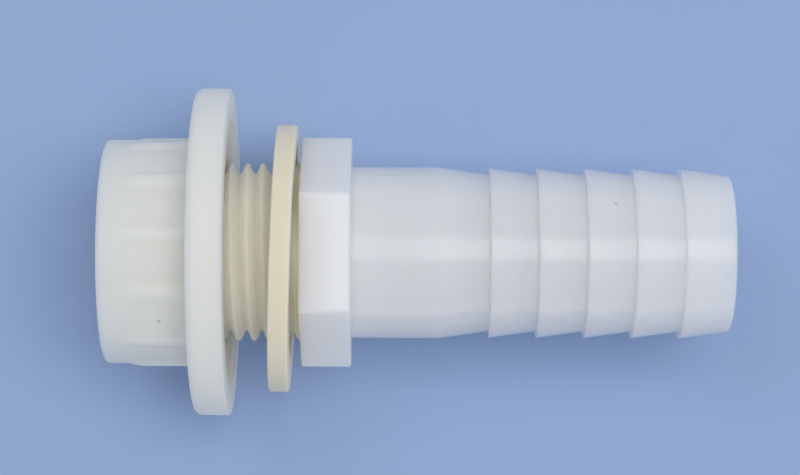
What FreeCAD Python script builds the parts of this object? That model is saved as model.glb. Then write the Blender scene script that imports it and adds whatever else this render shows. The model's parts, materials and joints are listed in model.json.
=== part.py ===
import FreeCAD, Part
import math
import os

import Sketcher

# A thru hull fitting moulded in nylon, lying along X with its hose end towards +X.
# A flanged collar nut screws on the male thread of a barbed hose tail, and a soft
# sealing washer rides loose on that thread between the two. The skin of the hull is
# clamped between the washer and the flange. The origin is on the fitting's centre
# line, in the plane of the flange face that lies against the hull.

SIZES = {
    # a G 1/2 pipe thread: 14 turns to the inch, Whitworth form
    "thread_major": (20.955, "outer diameter of the male thread"),
    "thread_minor": (18.631, "diameter at the bottom of the male thread"),
    "thread_pitch": (1.814, "travel in one turn"),
    "thread_flank": (27.5, "lean of each flank, degrees"),
    "thread_play": (0.1, "how much larger the collar's thread is cut, all round"),
    "thread_crest": (1.9, "place of a crest of the male thread on the +Y side"),
    "thread_entry": (0.7, "bevel at the free end of the male thread"),
    "thread_run_out": (0.95, "where the male thread's groove ends, in front of the hexagon"),
    "mouth_bevel": (1.4, "bevel at the ends of the collar's thread"),
    "root_depth": (0.5, "how deep a rib or a barb is rooted in what carries it"),
    # the collar nut with its flange
    "flange_dia": (38.6, "flange diameter"),
    "flange_thick": (4.1, "flange thickness"),
    "flange_round": (1.0, "rounding of the flange's rim on the collar's side"),
    "face_round": (0.25, "rounding of the flange's rim on the hull's side"),
    "collar_dia": (26.4, "collar diameter between its ribs"),
    "collar_long": (10.6, "collar length in front of the flange"),
    "collar_round": (0.6, "rounding of the collar's free end"),
    "seat_dia": (30.6, "diameter of the washer's seat in the flange face"),
    "seat_deep": (0.5, "depth of that seat"),
    "rib_dia": (27.2, "diameter over the grip ribs"),
    "rib_arc": (9.0, "width of a grip rib, degrees"),
    "rib_count": (12, "number of grip ribs"),
    "rib_turn": (-9.0, "place of the first rib, degrees from +Z away from +Y"),
    "rib_gap": (2.1, "plain stretch at the collar's free end"),
    "rib_ramp": (2.6, "length over which a rib rises"),
    # the sealing washer, at the place where it hangs on the thread
    "washer_outer": (31.7, "outer diameter of the sealing washer"),
    "washer_inner": (23.0, "inner diameter of the sealing washer"),
    "washer_thick": (2.3, "thickness of the sealing washer"),
    "washer_round": (0.25, "rounding of the washer's rim"),
    "washer_along": (6.2, "washer's middle from the flange face"),
    "washer_aside": (-0.77, "washer's middle off the centre line"),
    "washer_lean_z": (-1.6, "washer's lean about Z, degrees"),
    "washer_lean_y": (0.4, "washer's lean about Y, degrees"),
    # the hose tail: thread, hexagon, shoulder and barbs in one moulding
    "stem_start": (-8.35, "free end of the male thread"),
    "hex_start": (8.35, "hexagon's face towards the washer"),
    "hex_thick": (5.9, "hexagon's thickness"),
    "hex_flats": (23.6, "hexagon across its flats"),
    "hex_round": (0.35, "rounding of the hexagon's edges"),
    "shoulder_dia": (20.2, "plain shoulder behind the hexagon"),
    "shoulder_end": (24.0, "where the shoulder starts to taper"),
    "stem_dia": (18.5, "stem under the barbs"),
    "barb_start": (30.43, "steep side of the first barb"),
    "barb_pitch": (5.62, "distance from barb to barb"),
    "barb_fall": (5.3, "length over which a barb falls back to the stem"),
    "barb_count": (5, "number of barbs"),
    "barb_dia": (20.05, "diameter over the barbs"),
    "tip_end": (58.8, "free end of the hose tail"),
    "tip_round": (0.4, "rounding of the free end"),
    "bore_dia": (15.0, "waterway through the hose tail"),
}

NEAR = 1e-4
THREAD_TOP = "Sizes.thread_major / 2"
THREAD_FOOT = "Sizes.thread_minor / 2"
THREAD_MIDDLE = "(Sizes.thread_major + Sizes.thread_minor) / 4"
FLANK_SLOPE = "tan(Sizes.thread_flank * 1 deg)"

doc = FreeCAD.newDocument("thru_hull_fitting")

sheet = doc.addObject("Spreadsheet::Sheet", "Sizes")
for row, (alias, (value, meaning)) in enumerate(SIZES.items(), start=1):
    sheet.set(f"A{row}", meaning)
    sheet.set(f"B{row}", str(value))
    sheet.setAlias(f"B{row}", alias)
doc.recompute()


def new_body(label):
    body = doc.addObject("PartDesign::Body", label)
    body.Label = label
    return body


def origin_part(body, role):
    """One of the body's own origin planes or axes, such as XY_Plane or X_Axis."""
    return next(f for f in body.Origin.OriginFeatures if f.Role == role)


def new_sketch(body, name, plane):
    sketch = body.newObject("Sketcher::SketchObject", name)
    sketch.AttachmentSupport = [(origin_part(body, plane), "")]
    sketch.MapMode = "FlatFace"
    return sketch


def outline(body, name, plane, corners):
    """A closed sketch of straight sides; two expressions place each of its corners."""
    sketch = new_sketch(body, name, plane)
    places = [[float(sketch.evalExpression(e)) for e in corner] for corner in corners]
    points = [FreeCAD.Vector(x, y, 0) for x, y in places]
    for side, point in enumerate(points):
        sketch.addGeometry(Part.LineSegment(point, points[(side + 1) % len(points)]), False)
    for side, (point, corner) in enumerate(zip(points, corners)):
        following = (side + 1) % len(points)
        sketch.addConstraint(Sketcher.Constraint("Coincident", side, 2, following, 1))
        for kind, value, expression in zip(("DistanceX", "DistanceY"), point, corner):
            size = sketch.addConstraint(Sketcher.Constraint(kind, -1, 1, side, 1, value))
            sketch.setExpression(f"Constraints[{size}]", expression)
    doc.recompute()
    return sketch


def spun(body, name, sketch, angle="360"):
    """A sketch turned about the centre line, the sketch's own X axis."""
    feature = body.newObject("PartDesign::Revolution", name)
    feature.Profile = sketch
    feature.ReferenceAxis = (sketch, ["H_Axis"])
    feature.setExpression("Angle", angle)
    doc.recompute()
    return feature


def ring_edges(base, rings):
    """Names of the round edges of base that lie at the given (place along X, radius)."""
    wanted = [[float(base.evalExpression(e)) for e in ring] for ring in rings]
    names = []
    for number, edge in enumerate(base.Shape.Edges, start=1):
        if not isinstance(edge.Curve, Part.Circle):
            continue
        for along, out in wanted:
            same_place = abs(edge.Curve.Center.x - along) < NEAR
            if same_place and abs(edge.Curve.Radius - out) < NEAR:
                names.append(f"Edge{number}")
    return names


def flat_edge(edge):
    """Does a straight edge belong to the hexagon: is it as far out as its flats?"""
    middle = edge.valueAt((edge.FirstParameter + edge.LastParameter) / 2)
    return math.hypot(middle.y, middle.z) > float(sheet.hex_flats) / 2 - NEAR


def rounded(body, name, base, edges, radius):
    """A Fillet on the named edges of base."""
    fillet = body.newObject("PartDesign::Fillet", name)
    fillet.Base = (base, edges)
    fillet.setExpression("Radius", radius)
    doc.recompute()
    return fillet


def thread_groove(body, start, near, far, half_width):
    """The section of a thread's groove at start, from the radius near to the radius far."""
    return outline(body, "thread_groove", "XY_Plane", [
        (f"{start} - {half_width(near)}", near),
        (f"{start} - {half_width(far)}", far),
        (f"{start} + {half_width(far)}", far),
        (f"{start} + {half_width(near)}", near),
    ])


def threaded(body, name, groove, start, end):
    """Cuts a groove's section along a right-hand helix about the centre line."""
    helix = body.newObject("PartDesign::SubtractiveHelix", name)
    helix.Profile = groove
    helix.ReferenceAxis = (groove, ["H_Axis"])
    helix.Mode = "pitch-height-angle"
    helix.LeftHanded = False
    helix.Angle = 0
    helix.setExpression("Pitch", "Sizes.thread_pitch")
    helix.setExpression("Height", f"({end}) - ({start})")
    doc.recompute()
    return helix


# ---- hose tail: male thread, hexagon, shoulder and barbs, one moulding ----

def make_hose_tail():
    body = new_body("hose_tail")
    core = outline(body, "stem_outline", "XY_Plane", [
        ("Sizes.stem_start", "0"),
        ("Sizes.stem_start", f"{THREAD_TOP} - Sizes.thread_entry"),
        ("Sizes.stem_start + Sizes.thread_entry", THREAD_TOP),
        ("Sizes.hex_start", THREAD_TOP),
        ("Sizes.hex_start", "Sizes.shoulder_dia / 2"),
        ("Sizes.shoulder_end", "Sizes.shoulder_dia / 2"),
        ("Sizes.barb_start", "Sizes.stem_dia / 2"),
        ("Sizes.tip_end", "Sizes.stem_dia / 2"),
        ("Sizes.tip_end", "0"),
    ])
    stem = spun(body, "stem", core)
    tip = ring_edges(stem, [("Sizes.tip_end", "Sizes.stem_dia / 2")])
    rounded(body, "tip", stem, tip, "Sizes.tip_round")

    # a barb rises in a step that faces the hexagon and falls away towards the free end
    barb_outline = outline(body, "barb_outline", "XY_Plane", [
        ("Sizes.barb_start", "Sizes.stem_dia / 2 - Sizes.root_depth"),
        ("Sizes.barb_start", "Sizes.barb_dia / 2"),
        ("Sizes.barb_start + Sizes.barb_fall", "Sizes.stem_dia / 2"),
        ("Sizes.barb_start + Sizes.barb_fall", "Sizes.stem_dia / 2 - Sizes.root_depth"),
    ])
    barb = spun(body, "barb", barb_outline)
    barbs = body.newObject("PartDesign::LinearPattern", "barbs")
    barbs.Originals = [barb]
    barbs.Direction = (origin_part(body, "X_Axis"), [""])
    barbs.setExpression("Length", "Sizes.barb_pitch * (Sizes.barb_count - 1)")
    barbs.setExpression("Occurrences", "Sizes.barb_count")
    body.Tip = barbs
    doc.recompute()

    hexagon_outline = outline(body, "hexagon_outline", "YZ_Plane", [
        (f"Sizes.hex_flats / sqrt(3) * cos({60 * corner} deg)",
         f"Sizes.hex_flats / sqrt(3) * sin({60 * corner} deg)")
        for corner in range(6)
    ])
    hexagon_outline.setExpression("AttachmentOffset.Base.z", "Sizes.hex_start")
    hexagon = body.newObject("PartDesign::Pad", "hexagon")
    hexagon.Profile = hexagon_outline
    hexagon.setExpression("Length", "Sizes.hex_thick")
    doc.recompute()
    sharp = [f"Edge{number}" for number, edge in enumerate(hexagon.Shape.Edges, start=1)
             if isinstance(edge.Curve, Part.Line) and flat_edge(edge)]
    rounded(body, "hexagon_edges", hexagon, sharp, "Sizes.hex_round")

    def half_width(radius):
        return f"(Sizes.thread_pitch / 4 + ({radius} - {THREAD_MIDDLE}) * {FLANK_SLOPE})"

    # a groove lies half a turn off the crests, and starts in the air beyond the free end
    turns_back = "ceil((Sizes.thread_crest - Sizes.stem_start) / Sizes.thread_pitch)"
    start = f"(Sizes.thread_crest - ({turns_back} + 1 / 2) * Sizes.thread_pitch)"
    groove = thread_groove(body, start, THREAD_FOOT, f"{THREAD_TOP} + Sizes.thread_play", half_width)
    threaded(body, "male_thread", groove, start, "Sizes.hex_start - Sizes.thread_run_out")

    waterway = new_sketch(body, "waterway_outline", "YZ_Plane")
    waterway.addGeometry(Part.Circle(FreeCAD.Vector(), FreeCAD.Vector(0, 0, 1), 1), False)
    waterway.addConstraint(Sketcher.Constraint("Coincident", 0, 3, -1, 1))
    size = waterway.addConstraint(Sketcher.Constraint("Diameter", 0, 2))
    waterway.setExpression(f"Constraints[{size}]", "Sizes.bore_dia")
    doc.recompute()
    bore = body.newObject("PartDesign::Pocket", "waterway")
    bore.Profile = waterway
    bore.Type = "ThroughAll"
    bore.Midplane = True
    doc.recompute()
    return body


# ---- flanged nut: ribbed collar, flange and female thread, one moulding ----

def make_flanged_nut():
    body = new_body("flanged_nut")
    front = "(-Sizes.flange_thick - Sizes.collar_long)"
    bore = f"({THREAD_FOOT} + Sizes.thread_play)"
    mouth = f"{bore} + Sizes.mouth_bevel"
    nut_outline = outline(body, "nut_outline", "XY_Plane", [
        (front, mouth),
        (front, "Sizes.collar_dia / 2"),
        ("-Sizes.flange_thick", "Sizes.collar_dia / 2"),
        ("-Sizes.flange_thick", "Sizes.flange_dia / 2"),
        ("0", "Sizes.flange_dia / 2"),
        ("0", "Sizes.seat_dia / 2"),
        ("-Sizes.seat_deep", "Sizes.seat_dia / 2"),
        ("-Sizes.seat_deep", mouth),
        ("-Sizes.seat_deep - Sizes.mouth_bevel", bore),
        (f"{front} + Sizes.mouth_bevel", bore),
    ])
    spun(body, "nut", nut_outline)

    rib_outline = outline(body, "rib_outline", "XZ_Plane", [
        (f"{front} + Sizes.rib_gap", "Sizes.collar_dia / 2 - Sizes.root_depth"),
        (f"{front} + Sizes.rib_gap", "Sizes.collar_dia / 2"),
        (f"{front} + Sizes.rib_gap + Sizes.rib_ramp", "Sizes.rib_dia / 2"),
        ("-Sizes.flange_thick / 2", "Sizes.rib_dia / 2"),
        ("-Sizes.flange_thick / 2", "Sizes.collar_dia / 2 - Sizes.root_depth"),
    ])
    rib_outline.AttachmentOffset = FreeCAD.Placement(
        FreeCAD.Vector(), FreeCAD.Rotation(FreeCAD.Vector(1, 0, 0), float(sheet.rib_turn)))
    rib = spun(body, "rib", rib_outline, "Sizes.rib_arc")
    rib.Midplane = True
    ribs = body.newObject("PartDesign::PolarPattern", "ribs")
    ribs.Originals = [rib]
    ribs.Axis = (origin_part(body, "X_Axis"), [""])
    ribs.Angle = 360
    ribs.setExpression("Occurrences", "Sizes.rib_count")
    body.Tip = ribs
    doc.recompute()

    back_edge = ring_edges(ribs, [("-Sizes.flange_thick", "Sizes.flange_dia / 2")])
    back = rounded(body, "flange_rim", ribs, back_edge, "Sizes.flange_round")
    face_edge = ring_edges(back, [("0", "Sizes.flange_dia / 2")])
    face = rounded(body, "flange_face_rim", back, face_edge, "Sizes.face_round")
    end_edge = ring_edges(face, [(front, "Sizes.collar_dia / 2")])
    rounded(body, "collar_end", face, end_edge, "Sizes.collar_round")

    def half_width(radius):
        leaned = f"({radius} - {THREAD_MIDDLE}) * {FLANK_SLOPE}"
        return f"(Sizes.thread_pitch / 4 + Sizes.thread_play - {leaned})"

    # a groove takes each crest of the male thread, and starts beyond the collar's end
    turns_back = f"ceil((Sizes.thread_crest - {front}) / Sizes.thread_pitch)"
    start = f"(Sizes.thread_crest - {turns_back} * Sizes.thread_pitch)"
    deepest = f"({THREAD_TOP} + Sizes.thread_play)"
    groove = thread_groove(body, start, f"({bore} - Sizes.thread_play)", deepest, half_width)
    threaded(body, "female_thread", groove, start, "Sizes.thread_pitch")
    return body


# ---- sealing washer: a plain soft ring, loose on the male thread ----

def make_sealing_washer():
    body = new_body("sealing_washer")
    ring = outline(body, "ring_outline", "XY_Plane", [
        ("-Sizes.washer_thick / 2", "Sizes.washer_inner / 2"),
        ("-Sizes.washer_thick / 2", "Sizes.washer_outer / 2"),
        ("Sizes.washer_thick / 2", "Sizes.washer_outer / 2"),
        ("Sizes.washer_thick / 2", "Sizes.washer_inner / 2"),
    ])
    washer = spun(body, "ring", ring)
    rim_edges = ring_edges(washer, [
        ("-Sizes.washer_thick / 2", "Sizes.washer_outer / 2"),
        ("Sizes.washer_thick / 2", "Sizes.washer_outer / 2"),
    ])
    rounded(body, "ring_rim", washer, rim_edges, "Sizes.washer_round")
    lean = FreeCAD.Rotation(float(sheet.washer_lean_z), float(sheet.washer_lean_y), 0)
    body.Placement = FreeCAD.Placement(FreeCAD.Vector(), lean)
    body.setExpression("Placement.Base.x", "Sizes.washer_along")
    body.setExpression("Placement.Base.y", "Sizes.washer_aside")
    doc.recompute()
    return body


bodies = [make_hose_tail(), make_flanged_nut(), make_sealing_washer()]
doc.recompute()

failed = [o.Name for o in doc.Objects if {"Invalid", "Error"} & set(o.State)]
if failed:
    raise RuntimeError(f"these objects did not build: {failed}")
for body in bodies:
    if body.Shape.isNull() or not body.Shape.isValid() or len(body.Shape.Solids) != 1:
        raise RuntimeError(f"{body.Label} is not one valid solid")

os.makedirs("parts", exist_ok=True)
for body in bodies:
    body.Shape.exportStep(f"parts/{body.Label}.step")
    print(body.Label, round(body.Shape.Volume, 1), "mm3", body.Shape.BoundBox)
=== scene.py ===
import json
import math

import bpy
from mathutils import Matrix, Vector


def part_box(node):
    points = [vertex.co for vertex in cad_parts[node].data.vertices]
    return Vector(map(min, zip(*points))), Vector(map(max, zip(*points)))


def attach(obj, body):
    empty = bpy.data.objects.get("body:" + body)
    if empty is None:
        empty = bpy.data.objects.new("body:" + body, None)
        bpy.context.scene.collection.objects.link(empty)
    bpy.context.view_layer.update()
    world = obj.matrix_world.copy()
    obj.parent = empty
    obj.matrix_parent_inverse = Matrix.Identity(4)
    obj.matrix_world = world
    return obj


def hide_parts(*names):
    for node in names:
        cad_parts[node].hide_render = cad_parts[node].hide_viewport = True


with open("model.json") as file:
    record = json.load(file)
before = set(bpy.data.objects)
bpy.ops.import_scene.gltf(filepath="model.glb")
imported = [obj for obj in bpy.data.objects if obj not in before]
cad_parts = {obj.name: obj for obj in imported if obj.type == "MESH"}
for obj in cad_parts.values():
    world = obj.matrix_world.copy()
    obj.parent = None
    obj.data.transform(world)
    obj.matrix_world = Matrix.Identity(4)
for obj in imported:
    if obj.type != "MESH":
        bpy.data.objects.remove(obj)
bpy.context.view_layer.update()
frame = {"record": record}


# ---- hose tail ----
# One nylon moulding: a male pipe thread, a hexagon for the spanner, a plain shoulder and a
# stem with five hose barbs, open from end to end. It is left in the natural milky colour of
# the nylon, with the satin skin that it takes from the mould.

mm = 0.001
tail_low, tail_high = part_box("hose_tail")
mounts = {mount["name"]: mount for mount in frame["record"]["mounts"]}
coupling = frame["record"]["behaviour"]["couplings"][0]

pitch = 2 * math.pi / coupling["ratio"]
thread_top = 20.955 * mm / 2
thread_foot = 18.631 * mm / 2
thread_middle = (thread_top + thread_foot) / 2
flank_lean = math.tan(math.radians(27.5))
crest_at = 1.9 * mm
thread_bevel = 0.7 * mm
thread_softness = 0.35
thread_end_round = 0.35 * mm

bore_out = mounts["waterway"]["dims"]["r_mm"] * mm
shoulder_out = mounts["hose_shoulder"]["dims"]["r_mm"] * mm
hex_flat = tail_high.z
hex_face = 8.35 * mm
hex_back = hex_face + 5.9 * mm
hex_edge = 0.3 * mm
shoulder_round = 0.3 * mm
groove_end = hex_face - 0.95 * mm
groove_fade = 0.3 * mm
taper_start = 24.6 * mm
taper_round = 8 * mm
stem_out = 18.5 * mm / 2
barb_out = 20.05 * mm / 2
barb_start = 30.43 * mm
barb_pitch = 5.62 * mm
barb_fall = 5.3 * mm
barb_count = 5
barb_foot_round = 0.2 * mm
barb_top_round = 0.14 * mm
barb_end_round = 1 * mm
tip_round = 0.45 * mm
tip_mouth_round = 0.5 * mm
mark_start = 16.4 * mm
mark_end = 22.2 * mm
mark_rise = 0.15 * mm
mark_fade = 1.5 * mm
mark_turn = math.radians(29)
mark_half = math.radians(2.2)

east, west, outwards, inwards = (1, 0), (-1, 0), (0, 1), (0, -1)


def eased(value):
    """0 to 1 with a soft start and a soft end."""
    value = min(max(value, 0.0), 1.0)
    return value * value * (3 - 2 * value)


def between(low, high, steps):
    """Evenly spaced places from low up to, but not including, high."""
    return [low + (high - low) * step / steps for step in range(steps)]


def rounded(along, out, arriving, leaving, radius, steps=6):
    """Points round a corner of an outline, which arrives and leaves in two directions."""
    arrive, leave = Vector(arriving).normalized(), Vector(leaving).normalized()
    back = radius * math.tan(arrive.angle(leave) / 2)
    tip = Vector((along, out))
    start, end = tip - arrive * back, tip + leave * back
    points = []
    for step in range(steps + 1):
        share = step / steps
        points.append(tuple(start.lerp(tip, share).lerp(tip.lerp(end, share), share)))
    return points


def thread_out(along, angle, play=0.0):
    """How far out a right-hand thread stands at a place and an angle, tops and roots softened."""
    turns = (along - crest_at) / pitch - angle / (2 * math.pi)
    off_crest = abs(turns - round(turns)) * pitch
    out = thread_middle + (pitch / 4 + play - off_crest) / flank_lean
    low, high = thread_foot + play, thread_top + play
    share = min(max((out - low) / (high - low), 0.0), 1.0)
    return low + (high - low) * ((1 - thread_softness) * share + thread_softness * eased(share))


def hexagon_out(angle, flat, corner=0.45 * mm):
    """How far out a hexagon stands whose corners, the first at angle 0, are rounded off."""
    off = math.radians(abs((math.degrees(angle) + 30) % 60 - 30))
    side = math.radians(30)
    centre = (flat - corner) / math.cos(side)
    if off >= math.atan2(corner * math.sin(side), centre + corner * math.cos(side)):
        return flat / math.cos(side - off)
    return centre * math.cos(off) + math.sqrt(corner ** 2 - (centre * math.sin(off)) ** 2)


def shell(name, outline, angles):
    """A closed skin: a closed outline of (along, out) carried round the centre line.

    out is a distance from the centre line, or a function that gives it at an angle."""
    corners = []
    for along, out in outline:
        for angle in angles:
            far = out(angle) if callable(out) else out
            corners.append((along, far * math.cos(angle), far * math.sin(angle)))
    rows, columns = len(outline), len(angles)
    faces = []
    for row in range(rows):
        for column in range(columns):
            here, there = row * columns, (row + 1) % rows * columns
            beside = (column + 1) % columns
            faces.append((here + column, here + beside, there + beside, there + column))
    mesh = bpy.data.meshes.new(name)
    mesh.from_pydata(corners, [], faces)
    mesh.shade_smooth()
    mesh.set_sharp_from_angle(angle=math.radians(70))
    piece = bpy.data.objects.new(name, mesh)
    bpy.context.scene.collection.objects.link(piece)
    return piece


def male_thread(along):
    """The thread at one place, bevelled at its free end and run out before the hexagon."""
    lead_in = thread_top - thread_bevel + (along - tail_low.x)

    def out(angle):
        turns = (along - crest_at) / pitch - angle / (2 * math.pi)
        groove_at = along - (turns - math.floor(turns) - 0.5) * pitch
        filled = eased((groove_at - groove_end) / groove_fade + 0.5)
        cut = thread_out(along, angle)
        return min(cut + (thread_top - cut) * filled, lead_in)
    return out


def hexagon_row(inset):
    return lambda angle: hexagon_out(angle, hex_flat - inset)


def marked_shoulder(along):
    """The shoulder at one place, with a faint raised line where the nylon flowed together."""
    rise = mark_rise * eased(min(along - mark_start, mark_end - along) / mark_fade)

    def out(angle):
        return shoulder_out + rise * (1 - eased(abs(angle - mark_turn) / mark_half))
    return out


tail_outline = rounded(tail_low.x, bore_out, west, outwards, thread_end_round)
tail_outline += [(along, male_thread(along)) for along in between(tail_low.x, hex_face, 248)]
tail_outline += [(hex_face, male_thread(hex_face))]
edge_turns = [math.pi / 2 * step / 6 for step in range(7)]
for turn in edge_turns:
    along = hex_face + hex_edge * (1 - math.cos(turn))
    tail_outline.append((along, hexagon_row(hex_edge * (1 - math.sin(turn)))))
for turn in reversed(edge_turns):
    along = hex_back - hex_edge * (1 - math.cos(turn))
    tail_outline.append((along, hexagon_row(hex_edge * (1 - math.sin(turn)))))
tail_outline += rounded(hex_back, shoulder_out, inwards, east, shoulder_round)
tail_outline += [(along, marked_shoulder(along)) for along in between(mark_start, mark_end, 24)]
taper = (barb_start - taper_start, stem_out - shoulder_out)
tail_outline += rounded(taper_start, shoulder_out, east, taper, taper_round, 10)
fall = (barb_fall, stem_out - barb_out)
for number in range(barb_count):
    foot = barb_start + number * barb_pitch
    tail_outline += rounded(foot, stem_out, east if number else taper, outwards, barb_foot_round)
    tail_outline += rounded(foot, barb_out, outwards, fall, barb_top_round)
    tail_outline += rounded(foot + barb_fall, stem_out, fall, east, barb_end_round)
tail_outline += rounded(tail_high.x, stem_out, east, inwards, tip_round, 8)
tail_outline += rounded(tail_high.x, bore_out, inwards, west, tip_mouth_round)

# the places round the stem stand closer together at the hexagon's corners
tail_angles = []
for side in range(6):
    for step in range(-20, 20):
        off = math.copysign(30 * abs(step / 20) ** 1.6, step)
        tail_angles.append(math.radians(60 * side + off))

tail_moulding = shell("tail_moulding", tail_outline, tail_angles)


def moulded_nylon(name, milk, cloud, dullness, speck_at, warm_shade_to):
    """Natural nylon: milky right through, faintly clouded, with a satin skin.

    speck_at is the place of a dark grain caught in the moulding. Up to the place given last, the
    colour is painted cream: a painted warm shade for the shaded, bounced light in the thread's
    grooves. The skin there is also duller."""
    material = bpy.data.materials.new(name)
    material.use_nodes = True
    nodes, links = material.node_tree.nodes, material.node_tree.links
    skin = nodes["Principled BSDF"]
    place = nodes.new("ShaderNodeTexCoord")

    clouds = nodes.new("ShaderNodeTexNoise")
    clouds.inputs["Scale"].default_value = 110
    clouds.inputs["Detail"].default_value = 4
    links.new(place.outputs["Object"], clouds.inputs["Vector"])
    tone = nodes.new("ShaderNodeMix")
    tone.data_type = "RGBA"
    tone.inputs["A"].default_value = (*milk, 1)
    tone.inputs["B"].default_value = (*cloud, 1)
    links.new(clouds.outputs["Fac"], tone.inputs["Factor"])

    # painted warm shade: up to the given place the base colour is mixed towards cream, standing for
    # the warm shaded light in the thread's grooves
    apart = nodes.new("ShaderNodeSeparateXYZ")
    links.new(place.outputs["Object"], apart.inputs["Vector"])
    clear = nodes.new("ShaderNodeMapRange")
    clear.inputs["From Min"].default_value = warm_shade_to - 0.15 * mm
    clear.inputs["From Max"].default_value = warm_shade_to
    links.new(apart.outputs["X"], clear.inputs["Value"])
    painted_warm_shade = nodes.new("ShaderNodeMix")
    painted_warm_shade.data_type = "RGBA"
    painted_warm_shade.inputs["A"].default_value = (0.98, 0.91, 0.73, 1)
    links.new(clear.outputs["Result"], painted_warm_shade.inputs["Factor"])
    links.new(tone.outputs["Result"], painted_warm_shade.inputs["B"])

    off = nodes.new("ShaderNodeVectorMath")
    off.operation = "DISTANCE"
    off.inputs[1].default_value = speck_at
    links.new(place.outputs["Object"], off.inputs[0])
    near = nodes.new("ShaderNodeMapRange")
    near.inputs["From Min"].default_value = 0.10 * mm
    near.inputs["From Max"].default_value = 0.32 * mm
    near.inputs["To Min"].default_value = 0.4
    near.inputs["To Max"].default_value = 0.0
    links.new(off.outputs["Value"], near.inputs["Value"])
    speck = nodes.new("ShaderNodeMix")
    speck.data_type = "RGBA"
    speck.inputs["B"].default_value = (0.12, 0.10, 0.06, 1)
    links.new(near.outputs["Result"], speck.inputs["Factor"])
    links.new(painted_warm_shade.outputs["Result"], speck.inputs["A"])
    links.new(speck.outputs["Result"], skin.inputs["Base Color"])

    # the skin is a little duller in places, and finely uneven all over
    dull = nodes.new("ShaderNodeMapRange")
    dull.inputs["To Min"].default_value = dullness - 0.03
    dull.inputs["To Max"].default_value = dullness + 0.03
    links.new(clouds.outputs["Fac"], dull.inputs["Value"])
    satin = nodes.new("ShaderNodeMix")
    satin.inputs["A"].default_value = 0.7
    links.new(clear.outputs["Result"], satin.inputs["Factor"])
    links.new(dull.outputs["Result"], satin.inputs["B"])
    links.new(satin.outputs["Result"], skin.inputs["Roughness"])
    grain = nodes.new("ShaderNodeTexNoise")
    grain.inputs["Scale"].default_value = 1400
    grain.inputs["Detail"].default_value = 3
    links.new(place.outputs["Object"], grain.inputs["Vector"])
    bump = nodes.new("ShaderNodeBump")
    bump.inputs["Strength"].default_value = 0.12
    bump.inputs["Distance"].default_value = 0.05 * mm
    links.new(grain.outputs["Fac"], bump.inputs["Height"])
    links.new(bump.outputs["Normal"], skin.inputs["Normal"])

    skin.inputs["IOR"].default_value = 1.53
    skin.inputs["Specular IOR Level"].default_value = 0.22
    skin.inputs["Subsurface Weight"].default_value = 1.0
    skin.inputs["Subsurface Radius"].default_value = (1.0, 0.95, 0.8)
    skin.inputs["Subsurface Scale"].default_value = 6 * mm
    return material


tail_milk, tail_cloud = (0.98, 0.955, 0.905), (0.95, 0.925, 0.865)
tail_speck = (44.9 * mm, 5.9 * mm, 7.6 * mm)
# the thread, up to the hexagon's face, is painted cream as painted warm shade and bounce light
tail_nylon = moulded_nylon("milky_nylon_tail", tail_milk, tail_cloud, dullness=0.2,
                           speck_at=tail_speck, warm_shade_to=hex_face)
tail_moulding.data.materials.append(tail_nylon)
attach(tail_moulding, "tail")
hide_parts("hose_tail")


# ---- flanged nut ----
# A second nylon moulding that screws on the tail's thread: a collar with twelve shallow
# grip ribs and a wide flange. The flange's flat side lies against the hull, and has a
# shallow round seat about the thread.

nut_low, nut_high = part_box("flanged_nut")
flange_out = nut_high.z
flange_back = -4.1 * mm
collar_out = 26.4 * mm / 2
rib_rise = 0.4 * mm
rib_count = 12
rib_first = math.radians(90 - 9)
rib_half = math.radians(6.2)
rib_flank = math.radians(5.2)
rib_start = nut_low.x + 2.1 * mm
rib_ramp = 2.6 * mm
seat_out = 30.6 * mm / 2
seat_at = -0.5 * mm
thread_play = 0.1 * mm
mouth_bevel = 1.4 * mm
mouth_out = thread_foot + thread_play + mouth_bevel
foot_round = 0.35 * mm
collar_round = 0.7 * mm
flange_round = 1.1 * mm
flange_edge = 0.25 * mm
seat_round = 0.15 * mm


def collar_row(along):
    """The collar at one place, its ribs rising slowly from nothing."""
    rise = rib_rise * eased((along - rib_start) / rib_ramp)
    spacing = 2 * math.pi / rib_count

    def out(angle):
        off = abs((angle - rib_first + spacing / 2) % spacing - spacing / 2)
        return collar_out + rise * (1 - eased((off - rib_half + rib_flank) / rib_flank))
    return out


def flange_foot(spread):
    """The collar where it meets the flange, spread out by a small hollow rounding."""
    collar = collar_row(flange_back)
    return lambda angle: collar(angle) + spread


def female_thread(along):
    """The collar's thread at one place, opened out by a bevel at both of its mouths."""
    bevel = mouth_out - min(seat_at - along, along - nut_low.x)
    return lambda angle: max(thread_out(along, angle, thread_play), bevel)


nut_outline = rounded(nut_low.x, collar_out, outwards, east, collar_round, 8)
nut_outline += [(along, collar_row(along))
                for along in between(rib_start, flange_back - 0.4 * mm, 30)]
nut_outline += [(flange_back - foot_round, flange_foot(0))]
nut_outline += [(flange_back - 0.1 * mm, flange_foot(0.08 * mm))]
nut_outline += [(flange_back, flange_foot(foot_round))]
nut_outline += rounded(flange_back, flange_out, outwards, east, flange_round, 10)
nut_outline += rounded(0, flange_out, east, inwards, flange_edge)
nut_outline += rounded(0, seat_out, inwards, west, seat_round)
nut_outline += rounded(seat_at, seat_out, west, inwards, seat_round)
nut_outline += [(along, female_thread(along)) for along in between(seat_at, nut_low.x, 218)]
nut_outline += [(nut_low.x, mouth_out)]

# the places round the collar stand closer together at the ribs' flanks
rib_offs = [0, 0.6, 1.2, 1.9, 2.6, 3.3, 4.0, 4.7, 5.4, 6.2, 7.4, 8.7, 10.0, 11.4, 12.8, 14.2]
nut_angles = []
for rib in range(rib_count):
    middle = rib_first + 2 * math.pi * rib / rib_count
    for off in [-far for far in reversed(rib_offs[1:])] + rib_offs:
        nut_angles.append(middle + math.radians(off))

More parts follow.
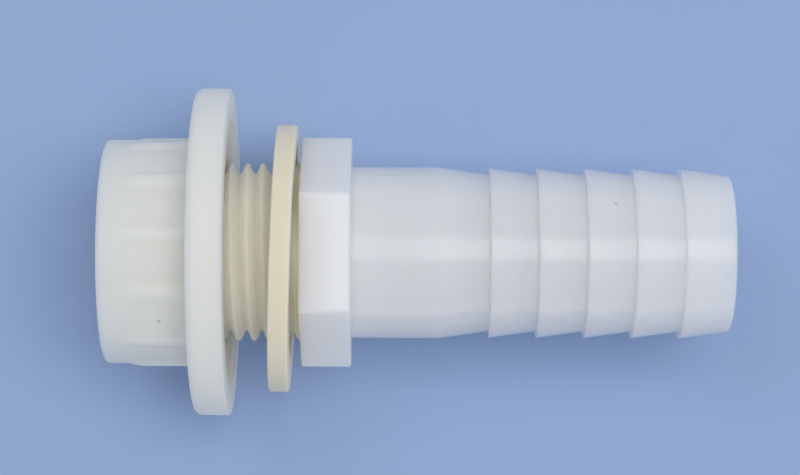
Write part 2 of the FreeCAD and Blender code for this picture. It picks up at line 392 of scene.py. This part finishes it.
nut_moulding = shell("nut_moulding", nut_outline, nut_angles)
nut_milk, nut_cloud = (0.975, 0.915, 0.82), (0.945, 0.885, 0.77)
nut_speck = (-7.6 * mm, -7.9 * mm, 10.5 * mm)
nut_nylon = moulded_nylon("milky_nylon_nut", nut_milk, nut_cloud, dullness=0.5,
                          speck_at=nut_speck, warm_shade_to=nut_low.x)
nut_moulding.data.materials.append(nut_nylon)
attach(nut_moulding, "nut")
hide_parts("flanged_nut")


# ---- sealing washer ----
# A ring of cream rubber, cut a little unevenly, which hangs loose and slightly askew on the
# thread until the fitting is tightened.

washer_low, washer_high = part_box("sealing_washer")
washer_middle = (washer_low + washer_high) / 2
washer_outer = 31.7 * mm / 2
washer_inner = 23.0 * mm / 2
washer_half = 2.3 * mm / 2
washer_wander = 0.05 * mm
washer_rim_round = 0.25 * mm
washer_hole_round = 0.2 * mm
washer_lean = Matrix.Rotation(math.radians(-1.6), 4, "Z") @ Matrix.Rotation(math.radians(0.4), 4, "Y")


def uneven(out, by):
    """A distance that wanders a little round the ring."""
    return lambda angle: out + by * (math.sin(3 * angle + 0.7) + 0.6 * math.sin(7 * angle + 2.1)) / 2


washer_outline = []
washer_rim = washer_outer - 1.2 * washer_wander
for along, out in (rounded(-washer_half, washer_rim, outwards, east, washer_rim_round)
                   + rounded(washer_half, washer_rim, east, inwards, washer_rim_round)):
    washer_outline.append((along, uneven(out, washer_wander)))
washer_outline += rounded(washer_half, washer_inner, inwards, west, washer_hole_round)
washer_outline += rounded(-washer_half, washer_inner, west, outwards, washer_hole_round)
washer_ring = shell("washer_ring", washer_outline, between(0, 2 * math.pi, 240))
washer_ring.data.transform(Matrix.Translation(washer_middle) @ washer_lean)


def cream_rubber():
    """Soft cream rubber: dull, faintly mottled and finely pitted."""
    material = bpy.data.materials.new("cream_rubber")
    material.use_nodes = True
    nodes, links = material.node_tree.nodes, material.node_tree.links
    skin = nodes["Principled BSDF"]
    place = nodes.new("ShaderNodeTexCoord")
    mottle = nodes.new("ShaderNodeTexNoise")
    mottle.inputs["Scale"].default_value = 260
    mottle.inputs["Detail"].default_value = 5
    links.new(place.outputs["Object"], mottle.inputs["Vector"])
    tone = nodes.new("ShaderNodeMix")
    tone.data_type = "RGBA"
    tone.inputs["A"].default_value = (0.97, 0.86, 0.68, 1)
    tone.inputs["B"].default_value = (0.94, 0.81, 0.61, 1)
    links.new(mottle.outputs["Fac"], tone.inputs["Factor"])
    links.new(tone.outputs["Result"], skin.inputs["Base Color"])
    pits = nodes.new("ShaderNodeTexNoise")
    pits.inputs["Scale"].default_value = 2600
    pits.inputs["Detail"].default_value = 2
    links.new(place.outputs["Object"], pits.inputs["Vector"])
    bump = nodes.new("ShaderNodeBump")
    bump.inputs["Strength"].default_value = 0.25
    bump.inputs["Distance"].default_value = 0.04 * mm
    links.new(pits.outputs["Fac"], bump.inputs["Height"])
    links.new(bump.outputs["Normal"], skin.inputs["Normal"])
    skin.inputs["Roughness"].default_value = 0.62
    skin.inputs["Specular IOR Level"].default_value = 0.3
    skin.inputs["Subsurface Weight"].default_value = 1.0
    skin.inputs["Subsurface Radius"].default_value = (1.0, 0.9, 0.8)
    skin.inputs["Subsurface Scale"].default_value = 0.8 * mm
    return material


washer_ring.data.materials.append(cream_rubber())
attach(washer_ring, "washer")
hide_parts("sealing_washer")


# ---- table ----
# A plain pale blue sheet that the fitting lies on, resting on the rim of its flange.

def pale_sheet():
    material = bpy.data.materials.new("pale_sheet")
    material.use_nodes = True
    nodes, links = material.node_tree.nodes, material.node_tree.links
    skin = nodes["Principled BSDF"]
    place = nodes.new("ShaderNodeTexCoord")
    clouds = nodes.new("ShaderNodeTexNoise")
    clouds.inputs["Scale"].default_value = 25
    links.new(place.outputs["Object"], clouds.inputs["Vector"])
    tone = nodes.new("ShaderNodeMix")
    tone.data_type = "RGBA"
    tone.inputs["A"].default_value = (0.35, 0.48, 0.75, 1)
    tone.inputs["B"].default_value = (0.37, 0.50, 0.77, 1)
    links.new(clouds.outputs["Fac"], tone.inputs["Factor"])
    links.new(tone.outputs["Result"], skin.inputs["Base Color"])
    skin.inputs["Roughness"].default_value = 0.8
    return material


sheet_half = 1.5
sheet_height = nut_low.z - 0.05 * mm
sheet_mesh = bpy.data.meshes.new("sheet")
sheet_mesh.from_pydata([(x, y, sheet_height) for x, y in ((-sheet_half, -sheet_half),
                        (sheet_half, -sheet_half), (sheet_half, sheet_half),
                        (-sheet_half, sheet_half))], [], [(0, 1, 2, 3)])
sheet = bpy.data.objects.new("sheet", sheet_mesh)
bpy.context.scene.collection.objects.link(sheet)
sheet.data.materials.append(pale_sheet())


# ---- light and camera ----
# Two softboxes overhead, one of them from the upper left, low white cards on all four sides
# and an even pale room. The camera looks straight down on the fitting, square to its centre line.

def softbox(name, place, width, depth, power, lean=0.0, turn=0.0):
    """A lit panel that looks straight down, or is leaned about the X and then the Y axis."""
    lamp = bpy.data.lights.new(name, "AREA")
    lamp.shape = "RECTANGLE"
    lamp.size = width
    lamp.size_y = depth
    lamp.energy = power
    lamp.color = (1.0, 0.98, 0.95)
    box = bpy.data.objects.new(name, lamp)
    box.location = place
    box.rotation_euler = (math.radians(lean), math.radians(turn), 0)
    bpy.context.scene.collection.objects.link(box)


softbox("overhead_box", (0.23, 0.09, 0.80), 0.47, 0.42, 2.9)
softbox("left_box", (-0.24, 0.28, 0.72), 0.30, 0.30, 0.78, lean=-20, turn=-18)
softbox("upper_card", (0.02, 0.65, 0.12), 0.6, 0.2, 0.28, lean=-80)
softbox("lower_card", (0.02, -0.60, 0.08), 0.5, 0.2, 0.48, lean=82)
softbox("right_card", (0.65, 0.0, 0.12), 0.2, 0.5, 0.5, turn=80)
softbox("left_card", (-0.60, 0.0, 0.15), 0.2, 0.5, 0.4, turn=-76)

room = bpy.data.worlds.new("room")
room.use_nodes = True
room.node_tree.nodes["Background"].inputs["Color"].default_value = (0.72, 0.82, 1.0, 1)
room.node_tree.nodes["Background"].inputs["Strength"].default_value = 0.32
bpy.context.scene.world = room
bpy.context.scene.view_settings.view_transform = "Standard"

seen_width = 94.7 * mm
lens = 119
sensor = 36
eye = bpy.data.cameras.new("eye")
eye.sensor_width = sensor
eye.lens = lens
eye.clip_start = 0.01
camera = bpy.data.objects.new("camera", eye)
camera.location = (19.95 * mm, 1.78 * mm, seen_width * (lens / sensor))
camera.rotation_euler.z = math.radians(0.25)
bpy.context.scene.collection.objects.link(camera)
bpy.context.scene.camera = camera
